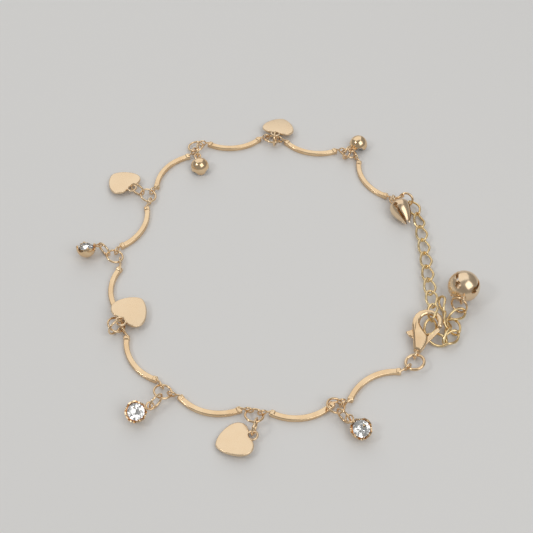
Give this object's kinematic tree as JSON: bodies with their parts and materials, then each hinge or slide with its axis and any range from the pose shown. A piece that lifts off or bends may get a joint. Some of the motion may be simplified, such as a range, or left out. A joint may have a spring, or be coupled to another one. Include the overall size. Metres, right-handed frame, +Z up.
{
  "type": "anklet",
  "caption": "Bar-link anklet lying in a loop, with heart and crystal drops on its jump rings, a lobster clasp, an extender chain and jingle bells.",
  "frame": {"origin": "middle of the whole anklet in plan, on the flat surface that it lies on", "axes": "+Z up from the surface; +X towards the bells and the clasp; +Y towards the side away from the clasp, where the bars run on from the bells"},
  "size_m": [0.1004, 0.1062, 0.0077],
  "materials": {
    "gold_bar": "polished plating",
    "gold_wire": "polished plating",
    "gold_heart": "polished plating",
    "gold_setting": "polished plating",
    "gold_chain": "polished plating",
    "gold_clasp": "polished plating",
    "gold_bell": "polished plating",
    "clear_stone": "polished, faceted"
  },
  "bodies": {
    "anklet": {"bar_1": "gold_bar", "bar_2": "gold_bar", "bar_3": "gold_bar", "bar_4": "gold_bar", "bar_5": "gold_bar", "bar_6": "gold_bar", "bar_7": "gold_bar", "bar_8": "gold_bar", "bar_9": "gold_bar", "bar_10": "gold_bar", "ring_1": "gold_wire", "ring_2": "gold_wire", "ring_3": "gold_wire", "ring_4": "gold_wire", "ring_5": "gold_wire", "ring_6": "gold_wire", "ring_7": "gold_wire", "ring_8": "gold_wire", "ring_9": "gold_wire", "heart_ring_2": "gold_wire", "heart_ring_4": "gold_wire", "heart_ring_6": "gold_wire", "heart_ring_8": "gold_wire", "crystal_ring_1": "gold_wire", "crystal_ring_3": "gold_wire", "crystal_ring_5": "gold_wire", "crystal_ring_7": "gold_wire", "crystal_ring_9": "gold_wire", "heart_2": "gold_heart", "heart_4": "gold_heart", "heart_6": "gold_heart", "heart_8": "gold_heart", "setting_1": "gold_setting", "setting_3": "gold_setting", "setting_5": "gold_setting", "setting_7": "gold_setting", "setting_9": "gold_setting", "stone_1": "clear_stone", "stone_3": "clear_stone", "stone_5": "clear_stone", "stone_7": "clear_stone", "stone_9": "clear_stone", "clasp_body": "gold_clasp", "clasp_ring": "gold_wire", "extender_run": "gold_chain", "extender_tail": "gold_chain", "bell_ring_1": "gold_wire", "bell_ring_2": "gold_wire", "small_bell": "gold_bell", "end_ring": "gold_wire", "large_bell": "gold_bell"},
    "lever": {"clasp_lever": "gold_clasp"}
  },
  "joints": [
    {"name": "lever_hinge", "type": "hinge", "parent": "anklet", "child": "lever", "pos_m": [0.03466, -0.0243, 0.00172], "axis": [-0.0521, -0.129, 0.9903], "range_deg": [0, 25], "stiffness_Nm_per_rad": 0.0004, "springref_deg": -11.46}
  ]
}
